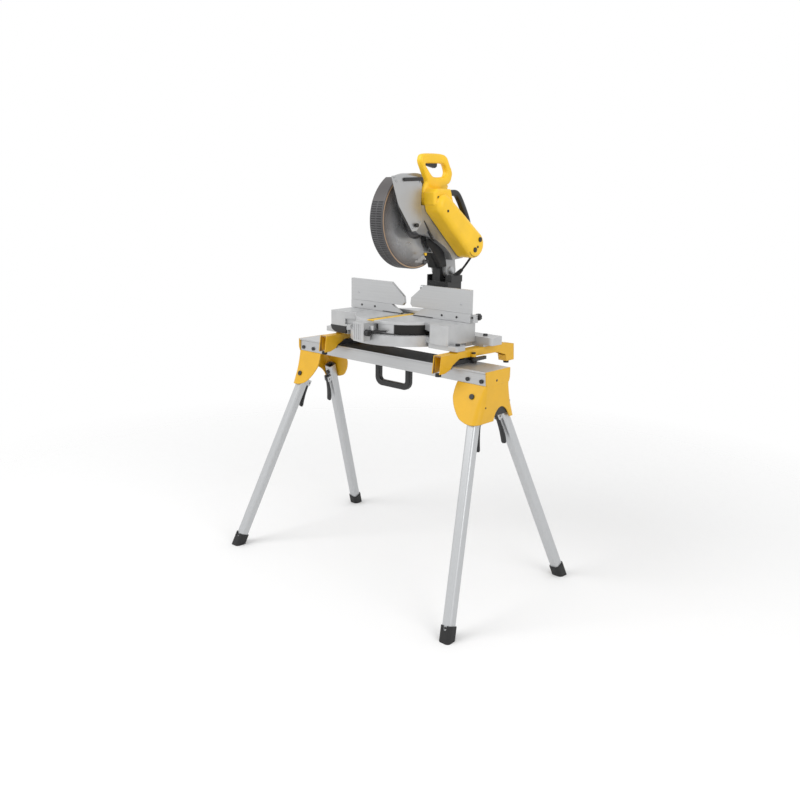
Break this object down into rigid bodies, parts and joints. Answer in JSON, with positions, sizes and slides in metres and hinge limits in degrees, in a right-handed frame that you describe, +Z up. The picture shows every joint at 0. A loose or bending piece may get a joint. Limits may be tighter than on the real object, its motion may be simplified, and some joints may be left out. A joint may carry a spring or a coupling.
{
  "type": "mitre saw on folding stand",
  "caption": "Compound mitre saw with tilting head, guarded blade, turntable and sliding fences, clamped on a folding stand with splayed tube legs and a carry handle.",
  "frame": {"origin": "on the floor under the middle of the stand", "axes": "+X along the beam to the operator's right, +Y to the back, +Z up"},
  "size_m": [1.1128, 0.7012, 1.4899],
  "materials": {
    "yellow_steel": "satin paint",
    "yellow_plastic": "satin moulding",
    "beam_metal": "satin extrusion",
    "leg_metal": "satin tube",
    "foot_rubber": "matt",
    "black_plastic": "fine grain",
    "black_bolts": "black oxide",
    "cast_metal": "cast and machined",
    "post_metal": "satin black",
    "plate_steel": "brushed",
    "pin_steel": "ground",
    "guard_plastic": "translucent grey",
    "motor_copper": "wound wire",
    "belt_rubber": "matt"
  },
  "bodies": {
    "stand": {"beam": "beam_metal", "beam_handle": "black_plastic", "housing_right": "yellow_steel", "housing_left": "yellow_steel", "stand_bolts": "black_bolts"},
    "saw_mount": {"bracket_right": "yellow_steel", "bracket_left": "yellow_steel", "beam_saddles": "black_plastic", "bracket_bumpers": "foot_rubber", "mount_bolts": "black_bolts", "saw_base": "cast_metal", "detent_plate": "plate_steel", "fixed_fence": "cast_metal"},
    "turntable": {"turntable": "cast_metal", "kerf_plates": "yellow_plastic", "bevel_pin": "pin_steel"},
    "bevel_post": {"bevel_post": "post_metal", "chop_pin": "pin_steel", "return_spring": "pin_steel"},
    "head": {"head_casting": "cast_metal", "guard_plate": "plate_steel", "guard_link": "post_metal", "motor_housing": "yellow_plastic", "handle": "yellow_plastic", "motor_lead": "belt_rubber", "stator": "motor_copper", "drive_belt": "belt_rubber", "bearings": "pin_steel", "carry_handle": "black_plastic", "dust_chute": "black_plastic", "brush_caps": "black_plastic"},
    "blade": {"arbor_shaft": "pin_steel", "saw_blade": "plate_steel", "arbor_bolt": "pin_steel"},
    "lower_guard": {"lower_guard": "guard_plastic"},
    "armature": {"armature": "motor_copper"},
    "trigger": {"trigger": "black_plastic"},
    "spindle_lock": {"spindle_lock": "black_plastic"},
    "mitre_knob": {"mitre_knob": "black_plastic"},
    "detent_lever": {"detent_lever": "black_plastic"},
    "bevel_lever": {"bevel_lever": "black_plastic"},
    "lock_pin": {"lock_pin": "pin_steel"},
    "fence_right": {"fence_right": "cast_metal"},
    "fence_left": {"fence_left": "cast_metal"},
    "fence_knob_right": {"fence_knob_right": "black_plastic"},
    "fence_knob_left": {"fence_knob_left": "black_plastic"},
    "clamp_right": {"clamp_lever_right": "black_plastic"},
    "clamp_left": {"clamp_lever_left": "black_plastic"},
    "leg_front_right": {"leg_front_right": "leg_metal", "foot_front_right": "foot_rubber"},
    "lever_front_right": {"leg_lever_front_right": "black_plastic"},
    "leg_back_right": {"leg_back_right": "leg_metal", "foot_back_right": "foot_rubber"},
    "lever_back_right": {"leg_lever_back_right": "black_plastic"},
    "leg_front_left": {"leg_front_left": "leg_metal", "foot_front_left": "foot_rubber"},
    "lever_front_left": {"leg_lever_front_left": "black_plastic"},
    "leg_back_left": {"leg_back_left": "leg_metal", "foot_back_left": "foot_rubber"},
    "lever_back_left": {"leg_lever_back_left": "black_plastic"}
  },
  "joints": [
    {"name": "leg_front_right_fold", "type": "hinge", "parent": "stand", "child": "leg_front_right", "pos_m": [0.40846, -0.05197, 0.7105], "axis": [0, 0.9323, -0.3616], "range_deg": [0, 99.4]},
    {"name": "lever_front_right_press", "type": "hinge", "parent": "leg_front_right", "child": "lever_front_right", "pos_m": [0.42016, -0.05155, 0.63414], "axis": [-0.9867, -0.0588, -0.1516], "range_deg": [0, 5], "stiffness_Nm_per_rad": 0.3, "springref_deg": -22.92},
    {"name": "leg_back_right_fold", "type": "hinge", "parent": "stand", "child": "leg_back_right", "pos_m": [0.40846, 0.05197, 0.7105], "axis": [0, 0.9323, 0.3616], "range_deg": [0, 99.4]},
    {"name": "lever_back_right_press", "type": "hinge", "parent": "leg_back_right", "child": "lever_back_right", "pos_m": [0.42016, 0.05155, 0.63414], "axis": [0.9867, -0.0588, 0.1516], "range_deg": [0, 5], "stiffness_Nm_per_rad": 0.3, "springref_deg": -22.92},
    {"name": "leg_front_left_fold", "type": "hinge", "parent": "stand", "child": "leg_front_left", "pos_m": [-0.41641, -0.06942, 0.6655], "axis": [0, -0.9323, 0.3616], "range_deg": [0, 99.4]},
    {"name": "lever_front_left_press", "type": "hinge", "parent": "leg_front_left", "child": "lever_front_left", "pos_m": [-0.42063, -0.05259, 0.63146], "axis": [-0.9867, 0.0588, 0.1516], "range_deg": [0, 5], "stiffness_Nm_per_rad": 0.3, "springref_deg": -22.92},
    {"name": "leg_back_left_fold", "type": "hinge", "parent": "stand", "child": "leg_back_left", "pos_m": [-0.41641, 0.06942, 0.6655], "axis": [0, -0.9323, -0.3616], "range_deg": [0, 99.4]},
    {"name": "lever_back_left_press", "type": "hinge", "parent": "leg_back_left", "child": "lever_back_left", "pos_m": [-0.42063, 0.05259, 0.63146], "axis": [0.9867, 0.0588, -0.1516], "range_deg": [0, 5], "stiffness_Nm_per_rad": 0.3, "springref_deg": -22.92},
    {"name": "mount_slide", "type": "slide", "parent": "stand", "child": "saw_mount", "axis": [1, 0, 0], "range_m": [-0.06, 0.06]},
    {"name": "mitre", "type": "hinge", "parent": "saw_mount", "child": "turntable", "pos_m": [0, 0.058, 0.932], "axis": [0, 0, 1], "range_deg": [-50, 50]},
    {"name": "bevel", "type": "hinge", "parent": "turntable", "child": "bevel_post", "pos_m": [0, 0.206, 0.932], "axis": [0, 1, 0], "range_deg": [-33.9, 0]},
    {"name": "chop", "type": "hinge", "parent": "bevel_post", "child": "head", "pos_m": [0, 0.27, 1.081], "axis": [1, 0, 0], "range_deg": [0, 44.5], "stiffness_Nm_per_rad": 14, "springref_deg": -74.48, "deforming": ["motor_lead"]},
    {"name": "guard_swing", "type": "hinge", "parent": "head", "child": "lower_guard", "pos_m": [0, 0.062, 1.268], "axis": [-1, 0, 0], "range_deg": [0, 120.15]},
    {"name": "blade_spin", "type": "hinge", "parent": "head", "child": "blade", "pos_m": [0, 0.062, 1.268], "axis": [1, 0, 0], "continuous": true},
    {"name": "armature_spin", "type": "hinge", "parent": "head", "child": "armature", "pos_m": [0, 0.286, 1.18], "axis": [1, 0, 0], "continuous": true},
    {"name": "trigger_pull", "type": "hinge", "parent": "head", "child": "trigger", "pos_m": [0.05, 0.078, 1.464], "axis": [1, 0, 0], "range_deg": [0, 6], "stiffness_Nm_per_rad": 0.15, "springref_deg": -17.19},
    {"name": "spindle_lock_press", "type": "slide", "parent": "head", "child": "spindle_lock", "axis": [-1, 0, 0], "range_m": [0, 0.004], "stiffness_N_per_m": 300, "springref_m": -0.004},
    {"name": "mitre_knob_turn", "type": "hinge", "parent": "turntable", "child": "mitre_knob", "pos_m": [0.025, -0.177, 0.895], "axis": [1, 0, 0], "range_deg": [-180, 180]},
    {"name": "detent_press", "type": "hinge", "parent": "turntable", "child": "detent_lever", "pos_m": [0.033, -0.157, 0.897], "axis": [0, 0, -1], "range_deg": [0, 10], "stiffness_Nm_per_rad": 0.3, "springref_deg": -22.92},
    {"name": "bevel_lever_turn", "type": "hinge", "parent": "turntable", "child": "bevel_lever", "pos_m": [0, 0.292, 0.932], "axis": [0, 1, 0], "range_deg": [-90, 0]},
    {"name": "lock_pin_pull", "type": "slide", "parent": "bevel_post", "child": "lock_pin", "axis": [-1, 0, 0], "range_m": [0, 0.008]},
    {"name": "fence_right_slide", "type": "slide", "parent": "saw_mount", "child": "fence_right", "axis": [1, 0, 0], "range_m": [0, 0.06]},
    {"name": "fence_knob_right_turn", "type": "hinge", "parent": "saw_mount", "child": "fence_knob_right", "pos_m": [0.29, 0.09, 0.95], "axis": [0, 1, 0], "range_deg": [-180, 180]},
    {"name": "clamp_right_turn", "type": "hinge", "parent": "saw_mount", "child": "clamp_right", "pos_m": [0.325, 0.034, 0.816], "axis": [0, 0, -1], "range_deg": [0, 90]},
    {"name": "fence_left_slide", "type": "slide", "parent": "saw_mount", "child": "fence_left", "axis": [-1, 0, 0], "range_m": [0, 0.06]},
    {"name": "fence_knob_left_turn", "type": "hinge", "parent": "saw_mount", "child": "fence_knob_left", "pos_m": [-0.29, 0.09, 0.95], "axis": [0, 1, 0], "range_deg": [-180, 180]},
    {"name": "clamp_left_turn", "type": "hinge", "parent": "saw_mount", "child": "clamp_left", "pos_m": [-0.276, 0.034, 0.816], "axis": [0, 0, 1], "range_deg": [0, 90]}
  ],
  "couplings": [
    {"joint": "guard_swing", "follows": "chop", "ratio": 2.7},
    {"joint": "armature_spin", "follows": "blade_spin", "ratio": 2.1429}
  ]
}
